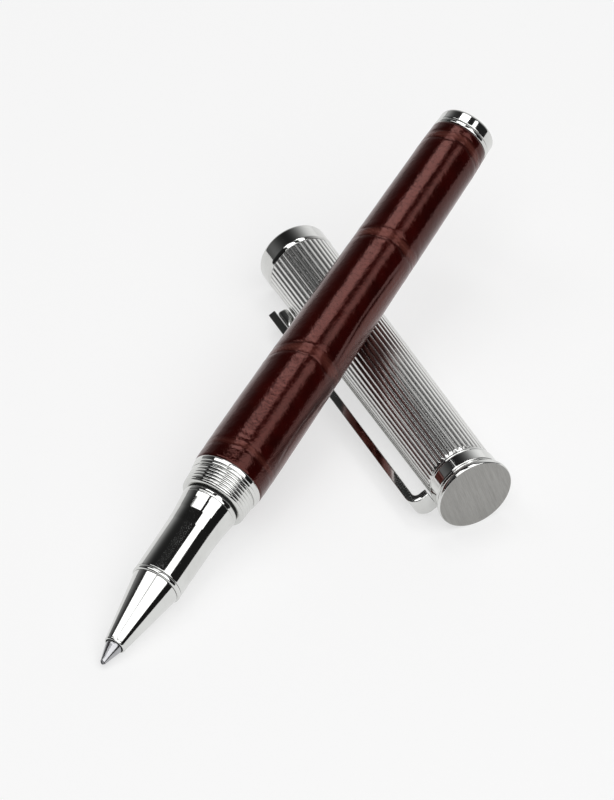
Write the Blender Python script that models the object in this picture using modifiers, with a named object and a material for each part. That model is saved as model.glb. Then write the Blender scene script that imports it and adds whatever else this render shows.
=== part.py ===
"""Rollerball pen with a leather-covered barrel, lying across its own fluted cap.

The cap lies on the table along +X with its top towards +X. The pen leans on the cap: its nose rests on
the table and its rear end is in the air. Each group of turned pieces hangs from an empty whose local Z is
the axis of that group, so every outline below is a list of (distance along the axis, radius) pairs.
On the cap the distance starts at the lip, on the pen it starts at the writing tip.
"""

import math

import bpy
from mathutils import Vector

MM = 0.001

# ---- shared clearances -------------------------------------------------------------------------------
FIT = 0.05 * MM              # between turned pieces that share an axis, all round and end to end
SLACK = 0.12 * MM            # around pieces that travel or flex
REST_GAP = 0.05 * MM         # between the leather and the cap that it leans on
RING_EDGE = 0.18 * MM        # broken edge of a polished ring
FINE_EDGE = 0.1 * MM         # broken edge of a thin or a hidden one
STEPS = 32                   # sides of an outer turned piece
SMALL_STEPS = 20             # sides of a slim inner piece

# ---- how the two halves lie --------------------------------------------------------------------------
CROSS_ON_CAP = 25.6 * MM     # where the pen crosses the cap, from the lip
CROSS_ON_PEN = 85.95 * MM    # the same crossing, from the writing tip
PEN_HEADING = math.radians(122.5)

# ---- refill: the standard size that everything round it starts from ------------------------------------
REFILL_LENGTH = 110.5 * MM
REFILL_RADIUS = 3.0 * MM
REFILL_WALL = 0.4 * MM
BALL_RADIUS = 0.35 * MM
SOCKET_DEPTH = 0.4 * MM
SOCKET_WALL = 0.06 * MM
TIP_RADIUS = 1.45 * MM
TIP_CONE = 3.7 * MM
TIP_LENGTH = 5.2 * MM
HOLDER_STEP = 0.1 * MM       # how far the ink holder stands inside the refill tube's outside
HOLDER_NECK = 4.0 * MM       # length of its narrow front, inside the nose
HOLDER_END = 17.4 * MM
HOLDER_SPIGOT = 4.0 * MM
INK_BORE = 0.6 * MM
REAR_PLUG = 1.8 * MM
REAR_PLUG_INSIDE = 2.5 * MM
SPRING_WIRE = 0.17 * MM      # radius of the wire
SPRING_TURNS = 6
SPRING_POINTS = 10           # points in each turn
SPRING_SLACK = 0.35 * MM     # ahead of the spring, from the refill
SPRING_ROOM = 0.4 * MM       # round the spring, in its pocket

# ---- writing section ---------------------------------------------------------------------------------
REFILL_ROOM = 0.45 * MM      # round the refill, in the section
TIP_ROOM = 0.17 * MM         # round the refill's tip, in the nose
NOSE_START = 4.0 * MM
NOSE_WALL = 0.24 * MM
NOSE_THROAT = 4.0 * MM
NOSE_END = 17.25 * MM
NOSE_STEP = 0.22 * MM        # how far the nose's rear stands inside the grip's outside
STEP_RING = 0.8 * MM
STUB_WALL = 0.55 * MM
STUB_INTO_GRIP = 5.0 * MM
STUB_LENGTH = 17.5 * MM
GRIP_END = 35.3 * MM
GRIP_WALL = 0.47 * MM        # over the threaded stub
FLARE = 0.46 * MM            # how far the grip flares at its rear
FLARE_LENGTH = 6.0 * MM
SEAL = 0.5 * MM
SEAL_WALL = 0.7 * MM

# ---- barrel ------------------------------------------------------------------------------------------
SPIGOT_WALL = 0.9 * MM
COLLAR_SPIGOT = 10.0 * MM
COLLAR_LENGTH = 3.4 * MM
COLLAR_STEP = 1.0 * MM       # from the spigot out to the thread's crest
COLLAR_EDGE = 0.7 * MM
THREAD_DEPTH = 0.14 * MM
THREADS = 5
FRONT_RING = 1.6 * MM
FRONT_RING_STEP = 0.03 * MM  # how far it stands inside the leather
BARREL_ROOM = 0.6 * MM       # round the refill, in the barrel
BARREL_WALL_FRONT = 0.53 * MM
BARREL_WALL_REAR = 0.88 * MM
LEATHER = 0.8 * MM
LEATHER_END = 120.9 * MM
SWELL = 0.1 * MM             # how far the leather swells behind its front edge
SWELL_AT = 47.0 * MM
LEATHER_TAPER = 0.65 * MM    # how much thinner its rear is than the place that leans on the cap
LEATHER_BULGE = 0.04 * MM    # how far its side bows out between the swell and the crossing
REAR_RING = 0.8 * MM
REAR_RING_STEP = 0.01 * MM
END_CAP = 2.4 * MM
END_CAP_STEP = 0.08 * MM     # how far the end cap stands inside the leather
END_EDGE = 0.5 * MM
END_PLUG_LENGTH = 7.0 * MM
END_PLUG_WALL = 0.6 * MM
POCKET_FLOOR = 1.6 * MM
STUD_RADIUS = 1.5 * MM
STUD_LENGTH = 1.2 * MM

# ---- cap ---------------------------------------------------------------------------------------------
CAP_LENGTH = 68.5 * MM
CAP_PLAY = 0.1 * MM          # round the thread collar, in the lip
LIP_WALL = 0.45 * MM
LIP_BAND = 3.95 * MM
LIP_THREAD = 3.0 * MM        # how deep the thread collar goes into the lip
LIP_SEAT = 0.7 * MM          # length of the cone that stops the thread collar
SPIGOT_END = 8.5 * MM
THROAT_ROOM = 0.32 * MM      # round the grip's flare
CAP_TAPER = 0.44 * MM        # how much thinner the tube is at its top
TUBE_SINK = 0.08 * MM        # how far the tube stands below the lip band
TUBE_WALL = 0.5 * MM
SLEEVE_ROOM = 0.48 * MM      # round the grip
SLEEVE_REACH = 3.5 * MM      # past the writing tip
SLEEVE_FLOOR = 1.5 * MM
PLUG_LENGTH = 9.0 * MM
CLIP_RING_STEP = 0.06 * MM   # how far the clip ring stands out over the tube's top
NECK_LENGTH = 2.35 * MM
NECK_STEP = 0.24 * MM
GROOVE_RING = 0.5 * MM
FINIAL_HEIGHT = 1.7 * MM
FINIAL_STEP = 0.4 * MM       # how far the finial stands out over the lip
FINIAL_FLARE = 0.7 * MM
FINIAL_EDGE = 0.45 * MM
FACE_RIM = 0.5 * MM          # flat rim round the face plate
FACE_DEPTH = 0.4 * MM
SCREW_RADIUS = 1.5 * MM
SCREW_LENGTH = 13.5 * MM
SCREW_HOLE_DEPTH = 0.8 * MM

# ---- clip --------------------------------------------------------------------------------------------
CLIP_THICKNESS = 1.4 * MM
CLIP_WIDTH = 4.2 * MM
CLIP_GAP = 1.95 * MM         # from the lip's radius to the clip's inner face
CLIP_BEND = 1.0 * MM         # inner radius of its bend
CLIP_END = 8.9 * MM          # its free end, from the lip
PAD_WIDTH = 3.2 * MM
PAD_LENGTH = 6.2 * MM
PAD_TIP = 1.3 * MM
PAD_LEAN = 1.2 * MM
BEND_STEPS = 5

# ---- sizes that follow from the ones above, from the refill outwards ---------------------------------
SECTION_BORE = REFILL_RADIUS + REFILL_ROOM
NOSE_BORE = TIP_RADIUS + TIP_ROOM
NOSE_RIM = NOSE_BORE + NOSE_WALL
STUB_RADIUS = SECTION_BORE + STUB_WALL
GRIP_RADIUS = STUB_RADIUS + FIT + GRIP_WALL
NOSE_REAR = GRIP_RADIUS - NOSE_STEP
FLARE_RADIUS = GRIP_RADIUS + FLARE
SPIGOT_RADIUS = STUB_RADIUS + FIT + SPIGOT_WALL
COLLAR_RADIUS = SPIGOT_RADIUS + COLLAR_STEP
BARREL_BORE = REFILL_RADIUS + BARREL_ROOM
LEATHER_FRONT = SPIGOT_RADIUS + FIT + BARREL_WALL_FRONT + FIT + LEATHER
LEATHER_REAR = BARREL_BORE + BARREL_WALL_REAR + FIT + LEATHER
LEATHER_SWELL = LEATHER_FRONT + SWELL
LEATHER_CROSS = LEATHER_REAR + LEATHER_TAPER
END_PLUG_RADIUS = BARREL_BORE - 2 * FIT
END_CAP_RADIUS = LEATHER_REAR - END_CAP_STEP
SPRING_POCKET = END_PLUG_RADIUS - END_PLUG_WALL
SPRING_RADIUS = SPRING_POCKET - SPRING_WIRE - SPRING_ROOM
COLLAR_START = GRIP_END + FIT + SEAL + FIT
FRONT_RING_START = COLLAR_START + COLLAR_LENGTH + FIT
LEATHER_START = FRONT_RING_START + FRONT_RING + FIT
SPIGOT_REAR = COLLAR_START + COLLAR_LENGTH + COLLAR_SPIGOT
REAR_RING_START = LEATHER_END + FIT
END_CAP_START = REAR_RING_START + REAR_RING + FIT
PEN_LENGTH = END_CAP_START + END_CAP

LIP_BORE = COLLAR_RADIUS + CAP_PLAY
LIP_RADIUS = LIP_BORE + LIP_WALL
THROAT_BORE = FLARE_RADIUS + THROAT_ROOM
SLEEVE_BORE = GRIP_RADIUS + SLEEVE_ROOM
SLEEVE_DEPTH = FRONT_RING_START + SLEEVE_REACH
TUBE_TOP_RADIUS = LIP_RADIUS - CAP_TAPER
CLIP_RING_RADIUS = TUBE_TOP_RADIUS + CLIP_RING_STEP
NECK_RADIUS = TUBE_TOP_RADIUS + NECK_STEP
FINIAL_RADIUS = LIP_RADIUS + FINIAL_STEP
FACE_RADIUS = FINIAL_RADIUS - FINIAL_EDGE - FACE_RIM - FIT
CLIP_REACH = LIP_RADIUS + CLIP_GAP + CLIP_THICKNESS
FINIAL_START = CAP_LENGTH - FINIAL_HEIGHT
GROOVE_START = FINIAL_START - FIT - GROOVE_RING
NECK_START = GROOVE_START - FIT - NECK_LENGTH
CLIP_RING_START = NECK_START - FIT - CLIP_THICKNESS
TUBE_END = CLIP_RING_START - FIT
TUBE_START = LIP_BAND + FIT


# ---- helpers -----------------------------------------------------------------------------------------
def clear_scene():
    for obj in list(bpy.data.objects):
        bpy.data.objects.remove(obj, do_unlink=True)


def new_collection(name):
    collection = bpy.data.collections.new(name)
    bpy.context.scene.collection.children.link(collection)
    return collection


def new_material(name, colour, roughness, metallic):
    material = bpy.data.materials.new(name)
    material.use_nodes = True
    shader = material.node_tree.nodes["Principled BSDF"]
    shader.inputs["Base Color"].default_value = (*colour, 1.0)
    shader.inputs["Roughness"].default_value = roughness
    shader.inputs["Metallic"].default_value = metallic
    return material


def add_object(name, data, parent, material=None):
    obj = bpy.data.objects.new(name, data)
    PEN.objects.link(obj)
    obj.parent = parent
    if material:
        data.materials.append(material)
    return obj


def add_axis(name, parent, location, rotation):
    """An empty whose local Z is the axis of the pieces under it."""
    axis = add_object(name, None, parent)
    axis.location = location
    axis.rotation_euler = rotation
    return axis


def turned(name, outline, parent, material, closed=False, steps=STEPS):
    """A turned piece. The outline runs down the outer side and back up the bore, as (along, radius)."""
    mesh = bpy.data.meshes.new(name)
    points = [(radius, 0.0, along) for along, radius in outline]
    edges = [(i, i + 1) for i in range(len(points) - 1)]
    if closed:
        edges.append((len(points) - 1, 0))
    mesh.from_pydata(points, edges, [])
    obj = add_object(name, mesh, parent, material)
    screw = obj.modifiers.new("turn", "SCREW")
    screw.axis = "Z"
    screw.angle = math.tau
    screw.steps = steps
    screw.render_steps = steps
    screw.use_merge_vertices = True
    screw.merge_threshold = 1e-6
    screw.use_smooth_shade = True
    return obj


def ring(name, outer, inner, parent, material, steps=STEPS):
    """A turned piece with a hole right through. Both lists run towards the far end of the axis."""
    return turned(name, outer[::-1] + inner, parent, material, closed=True, steps=steps)


def solid(name, outer, parent, material, steps=STEPS):
    """A turned piece without a hole."""
    outline = [(outer[-1][0], 0.0)] + outer[::-1] + [(outer[0][0], 0.0)]
    return turned(name, outline, parent, material, steps=steps)


def cup(name, outer, inner, parent, material, steps=STEPS):
    """A turned piece with a blind bore that opens at its near end."""
    outline = [(outer[-1][0], 0.0)] + outer[::-1] + inner + [(inner[-1][0], 0.0)]
    return turned(name, outline, parent, material, steps=steps)


def band(start, end, radius, edge):
    """The outer side of a cylinder with both edges broken."""
    return [(start, radius - edge), (start + edge, radius), (end - edge, radius), (end, radius - edge)]


def bar(name, outline, width, parent, angle, material):
    """A flat outline of (away from the axis, along the axis) points, made into a bar of this width."""
    curve = bpy.data.curves.new(name, "CURVE")
    curve.dimensions = "2D"
    curve.fill_mode = "BOTH"
    curve.extrude = width / 2
    spline = curve.splines.new("POLY")
    spline.points.add(len(outline) - 1)
    for point, (away, along) in zip(spline.points, outline):
        point.co = (away, along, 0.0, 1.0)
    spline.use_cyclic_u = True
    obj = add_object(name, curve, parent, material)
    obj.rotation_euler = (math.pi / 2, 0.0, angle)
    return obj


def arc(centre, radius, start, end, count):
    """Points on a round corner, in the plane of a bar's outline."""
    turns = [start + (end - start) * i / count for i in range(count + 1)]
    return [(centre[0] + radius * math.cos(t), centre[1] + radius * math.sin(t)) for t in turns]


def tube_outer(along):
    """Radius of the cap tube, which tapers evenly from the lip to the clip ring."""
    share = along / TUBE_END
    return LIP_RADIUS - TUBE_SINK + (TUBE_TOP_RADIUS - LIP_RADIUS) * share


def tube_inner(along):
    return tube_outer(along) - TUBE_WALL


def leather_outline(inset=0.0):
    """The leather's outer side, or a surface that lies a set depth inside it."""
    outer = [
        (LEATHER_START, LEATHER_FRONT),
        (SWELL_AT, LEATHER_SWELL),
        ((SWELL_AT + CROSS_ON_PEN) / 2, (LEATHER_SWELL + LEATHER_CROSS) / 2 + LEATHER_BULGE),
        (CROSS_ON_PEN, LEATHER_CROSS),
        (LEATHER_END, LEATHER_REAR),
    ]
    return [(along, radius - inset) for along, radius in outer]


# ---- how the pen and the clip lie --------------------------------------------------------------------
def lean():
    """Tilt of the pen whose nose rests on the table and whose leather rests on the cap tube."""
    cap_rise = (FINIAL_RADIUS - LIP_RADIUS) / CAP_LENGTH
    cap_height = LIP_RADIUS + cap_rise * CROSS_ON_CAP
    apart = tube_outer(CROSS_ON_CAP) + LEATHER_CROSS + REST_GAP
    tilt = 0.0
    for _ in range(30):
        across = math.cos(tilt) * math.sin(PEN_HEADING)
        drop = apart * math.hypot(across, math.sin(tilt)) / across
        rise = cap_height + drop - NOSE_RIM * math.cos(tilt)
        tilt = math.asin(rise / (CROSS_ON_PEN - NOSE_START))
    return tilt


def clip_angle():
    """Turn of the clip about the cap's axis that lays its lower edge on the table, from straight down."""
    cap_height = LIP_RADIUS + (FINIAL_RADIUS - LIP_RADIUS) * CLIP_END / CAP_LENGTH
    corner = math.hypot(CLIP_REACH, CLIP_WIDTH / 2)
    below_level = math.asin((cap_height - REST_GAP) / corner) - math.atan2(CLIP_WIDTH / 2, CLIP_REACH)
    return below_level - math.pi / 2


# ---- cap ---------------------------------------------------------------------------------------------
def cap_shell(axis):
    spigot = tube_inner(SPIGOT_END) - FIT
    ring(
        "cap_lip_ring",
        band(0.0, LIP_BAND, LIP_RADIUS, RING_EDGE) + [(LIP_BAND, spigot), (SPIGOT_END, spigot)],
        [(0.0, LIP_BORE), (LIP_THREAD, LIP_BORE), (LIP_THREAD + LIP_SEAT, THROAT_BORE),
         (SPIGOT_END, THROAT_BORE)],
        axis,
        CHROME,
    )
    ring(
        "cap_tube",
        [(TUBE_START, tube_outer(TUBE_START)), (TUBE_END, tube_outer(TUBE_END))],
        [(TUBE_START, tube_inner(TUBE_START)), (TUBE_END, tube_inner(TUBE_END))],
        axis,
        CHROME,
    )


def cap_inside(axis):
    start = SPIGOT_END + FIT
    end = SLEEVE_DEPTH + SLEEVE_FLOOR
    cup(
        "cap_inner_sleeve",
        [(start, tube_inner(start) - FIT), (end, tube_inner(end) - FIT)],
        [(start, SLEEVE_BORE), (SLEEVE_DEPTH, SLEEVE_BORE)],
        axis,
        BLACK_PLASTIC,
    )
    start = TUBE_END - PLUG_LENGTH
    ring(
        "cap_top_plug",
        [(start, tube_inner(TUBE_END) - FIT), (TUBE_END, tube_inner(TUBE_END) - FIT)],
        [(start, SCREW_RADIUS + FIT), (TUBE_END, SCREW_RADIUS + FIT)],
        axis,
        BRASS,
    )


def cap_top(axis):
    hole = SCREW_RADIUS + FIT
    rings = [
        ("clip_ring", CLIP_RING_START, CLIP_THICKNESS, CLIP_RING_RADIUS),
        ("cap_neck_band", NECK_START, NECK_LENGTH, NECK_RADIUS),
        ("cap_groove_ring", GROOVE_START, GROOVE_RING, CLIP_RING_RADIUS),
    ]
    for name, start, length, radius in rings:
        end = start + length
        ring(name, band(start, end, radius, RING_EDGE), [(start, hole), (end, hole)], axis, CHROME)


def finial(axis):
    """The disc that closes the cap, its brushed face plate, and the screw that holds both."""
    rim = CAP_LENGTH
    recess = FACE_RADIUS + FIT
    shoulder = NECK_RADIUS - FINE_EDGE
    flare_end = FINIAL_START + FINIAL_FLARE
    floor = CAP_LENGTH - FACE_DEPTH - FIT
    hole = SCREW_RADIUS + FIT
    hole_end = FINIAL_START + SCREW_HOLE_DEPTH
    outer = [(FINIAL_START, shoulder), (flare_end, FINIAL_RADIUS), (rim - FINIAL_EDGE, FINIAL_RADIUS),
             (rim, FINIAL_RADIUS - FINIAL_EDGE)]
    outline = [(floor, 0.0), (floor, recess), (rim, recess)] + outer[::-1]
    outline += [(FINIAL_START, hole), (hole_end, hole), (hole_end, 0.0)]
    turned("finial_disc", outline, axis, CHROME)
    solid("finial_face_plate", [(floor + FIT, FACE_RADIUS), (rim, FACE_RADIUS)], axis, BRUSHED)
    screw_end = hole_end - FIT
    solid("finial_screw", [(screw_end - SCREW_LENGTH, SCREW_RADIUS), (screw_end, SCREW_RADIUS)], axis,
          STEEL, SMALL_STEPS)


def clip_outline():
    """Side view of the clip: a leg out of the clip ring, a round bend and a straight bar."""
    inner = CLIP_REACH - CLIP_THICKNESS
    root = CLIP_RING_RADIUS + SLACK
    top = CLIP_RING_START + CLIP_THICKNESS
    outer_bend = CLIP_BEND + CLIP_THICKNESS
    centre = (CLIP_REACH - outer_bend, top - outer_bend)
    outline = [(root, top)]
    outline += arc(centre, outer_bend, math.pi / 2, 0.0, BEND_STEPS)
    outline += [(CLIP_REACH, CLIP_END), (inner, CLIP_END)]
    outline += arc(centre, CLIP_BEND, 0.0, math.pi / 2, BEND_STEPS)
    outline += [(root, top - CLIP_THICKNESS)]
    return outline


def clip(cap_axis):
    """The clip turns about the root of its leg, so both its pieces hang from an empty that is there."""
    angle = clip_angle()
    root = CLIP_RING_RADIUS + SLACK
    height = CLIP_RING_START + CLIP_THICKNESS / 2
    place = (root * math.cos(angle), root * math.sin(angle), height)
    hinge = add_axis("clip_hinge", cap_axis, place, (0.0, 0.0, 0.0))
    inner = CLIP_REACH - CLIP_THICKNESS - FIT
    touch = tube_outer(CLIP_END) + SLACK
    pad = [(inner, CLIP_END), (inner, CLIP_END + PAD_LENGTH), (touch, CLIP_END + PAD_LEAN + PAD_TIP),
           (touch, CLIP_END + PAD_LEAN)]
    pieces = [
        bar("clip", clip_outline(), CLIP_WIDTH, hinge, angle, CHROME),
        bar("clip_pad", pad, PAD_WIDTH, hinge, angle, CHROME),
    ]
    for piece in pieces:
        piece.location = tuple(-coordinate for coordinate in place)


# ---- writing section ---------------------------------------------------------------------------------
def writing_section(axis):
    ring(
        "nose_cone",
        [(NOSE_START, NOSE_RIM), (NOSE_END, NOSE_REAR)],
        [(NOSE_START, NOSE_BORE), (NOSE_START + NOSE_THROAT, NOSE_BORE), (NOSE_END, SECTION_BORE)],
        axis,
        CHROME,
    )
    start = NOSE_END + FIT
    end = start + STEP_RING
    ring("section_step_ring", band(start, end, GRIP_RADIUS, RING_EDGE),
         [(start, SECTION_BORE), (end, SECTION_BORE)], axis, CHROME)
    start = end + FIT
    socket = STUB_RADIUS + FIT
    step = GRIP_END - STUB_INTO_GRIP
    ring(
        "grip_section",
        [(start, GRIP_RADIUS - FINE_EDGE), (start + FINE_EDGE, GRIP_RADIUS),
         (GRIP_END - FLARE_LENGTH, GRIP_RADIUS + FINE_EDGE), (GRIP_END - FINE_EDGE, FLARE_RADIUS),
         (GRIP_END, FLARE_RADIUS - FINE_EDGE)],
        [(start, SECTION_BORE), (step, SECTION_BORE), (step, socket), (GRIP_END, socket)],
        axis,
        CHROME,
    )
    start = step + FIT
    end = start + STUB_LENGTH
    ring("section_thread_stub", [(start, STUB_RADIUS), (end, STUB_RADIUS)],
         [(start, SECTION_BORE), (end, SECTION_BORE)], axis, BRASS)


def section_seal(axis):
    start = GRIP_END + FIT
    end = start + SEAL
    bore = STUB_RADIUS + FIT
    ring("section_seal_ring", band(start, end, bore + SEAL_WALL, FINE_EDGE), [(start, bore), (end, bore)],
         axis, RUBBER)


# ---- barrel ------------------------------------------------------------------------------------------
def thread_collar(axis):
    """The collar that the cap screws onto, with its ridges, and the spigot that holds the barrel."""
    end = COLLAR_START + COLLAR_LENGTH
    crest = COLLAR_RADIUS
    first = COLLAR_START + COLLAR_EDGE
    pitch = (end - first) / (THREADS + 0.5)
    outer = [(COLLAR_START, crest - COLLAR_EDGE), (first, crest)]
    for i in range(THREADS):
        groove = first + (i + 0.5) * pitch
        outer += [(groove, crest - THREAD_DEPTH), (groove + pitch / 2, crest)]
    outer += [(end, crest), (end, SPIGOT_RADIUS), (SPIGOT_REAR, SPIGOT_RADIUS)]
    bore = STUB_RADIUS + FIT
    ring("thread_collar", outer, [(COLLAR_START, bore), (SPIGOT_REAR, bore)], axis, CHROME)


def barrel(axis):
    bore = SPIGOT_RADIUS + FIT
    end = FRONT_RING_START + FRONT_RING
    ring("barrel_front_ring", band(FRONT_RING_START, end, LEATHER_FRONT - FRONT_RING_STEP, RING_EDGE),
         [(FRONT_RING_START, bore), (end, bore)], axis, CHROME)
    step = SPIGOT_REAR + FIT
    ring("barrel_tube", leather_outline(LEATHER + FIT),
         [(LEATHER_START, bore), (step, bore), (step, BARREL_BORE), (LEATHER_END, BARREL_BORE)], axis, BRASS)
    ring("leather_sleeve", leather_outline(), leather_outline(LEATHER), axis, LEATHER_RED)


def barrel_end(axis):
    plug_end = END_CAP_START - FIT
    plug_start = plug_end - END_PLUG_LENGTH
    rear_ring_end = REAR_RING_START + REAR_RING
    bore = END_PLUG_RADIUS + FIT
    ring("barrel_rear_ring", band(REAR_RING_START, rear_ring_end, LEATHER_REAR + REAR_RING_STEP, FINE_EDGE),
         [(REAR_RING_START, bore), (rear_ring_end, bore)], axis, CHROME)
    stud_end = END_CAP_START + STUD_LENGTH
    pocket_end = plug_end - POCKET_FLOOR
    cup(
        "barrel_end_plug",
        [(plug_start, END_PLUG_RADIUS), (plug_end, END_PLUG_RADIUS), (plug_end, STUD_RADIUS),
         (stud_end, STUD_RADIUS)],
        [(plug_start, SPRING_POCKET), (pocket_end, SPRING_POCKET)],
        axis,
        BRASS,
    )
    hole = STUD_RADIUS + FIT
    cup(
        "barrel_end_cap",
        [(END_CAP_START, END_CAP_RADIUS - FINE_EDGE), (END_CAP_START + FINE_EDGE, END_CAP_RADIUS),
         (PEN_LENGTH - END_EDGE, END_CAP_RADIUS), (PEN_LENGTH, END_CAP_RADIUS - END_EDGE)],
        [(END_CAP_START, hole), (stud_end + FIT, hole)],
        axis,
        CHROME,
    )


# ---- refill ------------------------------------------------------------------------------------------
def refill(axis):
    cup(
        "refill_tip",
        [(BALL_RADIUS, BALL_RADIUS + FIT + SOCKET_WALL), (TIP_CONE, TIP_RADIUS), (TIP_LENGTH, TIP_RADIUS)],
        [(BALL_RADIUS, BALL_RADIUS + FIT), (BALL_RADIUS + SOCKET_DEPTH, BALL_RADIUS + FIT)],
        axis,
        STEEL,
        SMALL_STEPS,
    )
    start = TIP_LENGTH + FIT
    spigot_end = HOLDER_END + HOLDER_SPIGOT
    inside = REFILL_RADIUS - REFILL_WALL
    ring(
        "refill_ink_holder",
        [(start, TIP_RADIUS), (NOSE_START + HOLDER_NECK, TIP_RADIUS),
         (HOLDER_END, REFILL_RADIUS - HOLDER_STEP), (HOLDER_END, inside - FIT), (spigot_end, inside - FIT)],
        [(start, INK_BORE), (spigot_end, INK_BORE)],
        axis,
        BLACK_PLASTIC,
        SMALL_STEPS,
    )
    start = HOLDER_END + FIT
    end = REFILL_LENGTH - REAR_PLUG - FIT
    ring("refill_tube", [(start, REFILL_RADIUS), (end, REFILL_RADIUS)], [(start, inside), (end, inside)],
         axis, STEEL, SMALL_STEPS)
    start = end + FIT
    solid(
        "refill_rear_plug",
        [(start - REAR_PLUG_INSIDE, inside - FIT), (start, inside - FIT), (start, REFILL_RADIUS),
         (REFILL_LENGTH, REFILL_RADIUS)],
        axis,
        BLACK_PLASTIC,
        SMALL_STEPS,
    )


def refill_ball(axis):
    bpy.ops.mesh.primitive_uv_sphere_add(segments=12, ring_count=8, radius=BALL_RADIUS)
    ball = bpy.context.object
    ball.name = "refill_ball"
    ball.data.shade_smooth()
    ball.data.materials.append(STEEL)
    for collection in list(ball.users_collection):
        collection.objects.unlink(ball)
    PEN.objects.link(ball)
    ball.parent = axis
    ball.location = (0.0, 0.0, BALL_RADIUS)


def refill_spring(axis):
    """A coil spring between the refill's rear plug and the floor of the end plug's pocket."""
    near = REFILL_LENGTH + SPRING_SLACK + SPRING_WIRE
    far = END_CAP_START - FIT - POCKET_FLOOR - FIT - SPRING_WIRE
    curve = bpy.data.curves.new("refill_spring", "CURVE")
    curve.dimensions = "3D"
    curve.bevel_depth = SPRING_WIRE
    curve.bevel_resolution = 2
    curve.use_fill_caps = True
    count = SPRING_TURNS * SPRING_POINTS
    spline = curve.splines.new("POLY")
    spline.points.add(count)
    for i, point in enumerate(spline.points):
        turn = math.tau * i / SPRING_POINTS
        along = near + (far - near) * i / count
        point.co = (SPRING_RADIUS * math.cos(turn), SPRING_RADIUS * math.sin(turn), along, 1.0)
    add_object("refill_spring", curve, axis, STEEL)


# ---- assembly ----------------------------------------------------------------------------------------
def centre_on_table(layout):
    """Moves the whole pen so that its box is centred on the origin and stands on the table."""
    bpy.context.view_layer.update()
    graph = bpy.context.evaluated_depsgraph_get()
    corners = []
    for obj in PEN.objects:
        if obj.type == "EMPTY":
            continue
        evaluated = obj.evaluated_get(graph)
        mesh = evaluated.to_mesh()
        corners += [evaluated.matrix_world @ vertex.co for vertex in mesh.vertices]
        evaluated.to_mesh_clear()
    low = Vector(min(corner[i] for corner in corners) for i in range(3))
    high = Vector(max(corner[i] for corner in corners) for i in range(3))
    layout.location = (-(low.x + high.x) / 2, -(low.y + high.y) / 2, -low.z)


clear_scene()
PEN = new_collection("rollerball_pen")
CHROME = new_material("polished_chrome", (0.78, 0.78, 0.77), 0.08, 1.0)
BRUSHED = new_material("brushed_steel", (0.45, 0.45, 0.43), 0.35, 1.0)
STEEL = new_material("steel", (0.6, 0.6, 0.6), 0.25, 1.0)
BRASS = new_material("brass", (0.72, 0.55, 0.26), 0.3, 1.0)
LEATHER_RED = new_material("burgundy_leather", (0.09, 0.018, 0.012), 0.4, 0.0)
BLACK_PLASTIC = new_material("black_plastic", (0.02, 0.02, 0.02), 0.45, 0.0)
RUBBER = new_material("black_rubber", (0.015, 0.015, 0.015), 0.7, 0.0)

LAYOUT = add_axis("layout", None, (0.0, 0.0, 0.0), (0.0, 0.0, 0.0))
CAP_RISE = math.asin((FINIAL_RADIUS - LIP_RADIUS) / CAP_LENGTH)
CAP_AXIS = add_axis(
    "cap_axis",
    LAYOUT,
    (-CROSS_ON_CAP * math.cos(CAP_RISE), 0.0, LIP_RADIUS * math.cos(CAP_RISE)),
    (0.0, math.pi / 2 - CAP_RISE, 0.0),
)
PEN_TILT = lean()
PEN_AXIS = add_axis(
    "pen_axis",
    LAYOUT,
    (
        -CROSS_ON_PEN * math.cos(PEN_TILT) * math.cos(PEN_HEADING),
        -CROSS_ON_PEN * math.cos(PEN_TILT) * math.sin(PEN_HEADING),
        NOSE_RIM * math.cos(PEN_TILT) - NOSE_START * math.sin(PEN_TILT),
    ),
    (0.0, math.pi / 2 - PEN_TILT, PEN_HEADING),
)

cap_shell(CAP_AXIS)
cap_inside(CAP_AXIS)
cap_top(CAP_AXIS)
finial(CAP_AXIS)
clip(CAP_AXIS)
writing_section(PEN_AXIS)
section_seal(PEN_AXIS)
thread_collar(PEN_AXIS)
barrel(PEN_AXIS)
barrel_end(PEN_AXIS)
refill(PEN_AXIS)
refill_ball(PEN_AXIS)
refill_spring(PEN_AXIS)
centre_on_table(LAYOUT)
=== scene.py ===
# %% [markdown]
# # A rollerball pen lying across its fluted cap
# The imported model is loaded first. It fixes where every piece is and how big it is, so the work here is
# only to give the pieces their fine shape and their finish.

# %% Load the model
import math

import bpy
import numpy as np
from mathutils import Matrix, Vector, noise


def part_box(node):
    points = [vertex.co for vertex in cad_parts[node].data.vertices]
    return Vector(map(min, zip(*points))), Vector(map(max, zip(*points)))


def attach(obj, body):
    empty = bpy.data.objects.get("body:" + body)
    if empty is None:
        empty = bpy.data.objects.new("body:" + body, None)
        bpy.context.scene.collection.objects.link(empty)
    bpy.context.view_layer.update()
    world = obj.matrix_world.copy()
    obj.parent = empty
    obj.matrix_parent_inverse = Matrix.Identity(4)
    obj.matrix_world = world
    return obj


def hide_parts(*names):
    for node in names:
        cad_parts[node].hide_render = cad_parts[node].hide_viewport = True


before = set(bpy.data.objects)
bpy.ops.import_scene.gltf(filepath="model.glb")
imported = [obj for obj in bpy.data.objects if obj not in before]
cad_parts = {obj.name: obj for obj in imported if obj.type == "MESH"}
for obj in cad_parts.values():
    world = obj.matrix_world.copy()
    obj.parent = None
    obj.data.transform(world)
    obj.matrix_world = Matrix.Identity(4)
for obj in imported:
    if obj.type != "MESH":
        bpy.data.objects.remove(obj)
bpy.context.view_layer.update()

MM = 0.001

# %% [markdown]
# ## Two axes
# Almost every piece of a pen is turned, so it is made upright round the Z axis, with Z as the distance from
# the writing tip or from the cap's lip. A matrix then lays it on its real axis. The middle of a plain ring
# lies on that axis, so two rings give the direction, and a known distance gives the start.

# %% Find both axes in the model
def middle(node):
    low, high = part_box(node)
    return (low + high) / 2


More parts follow.
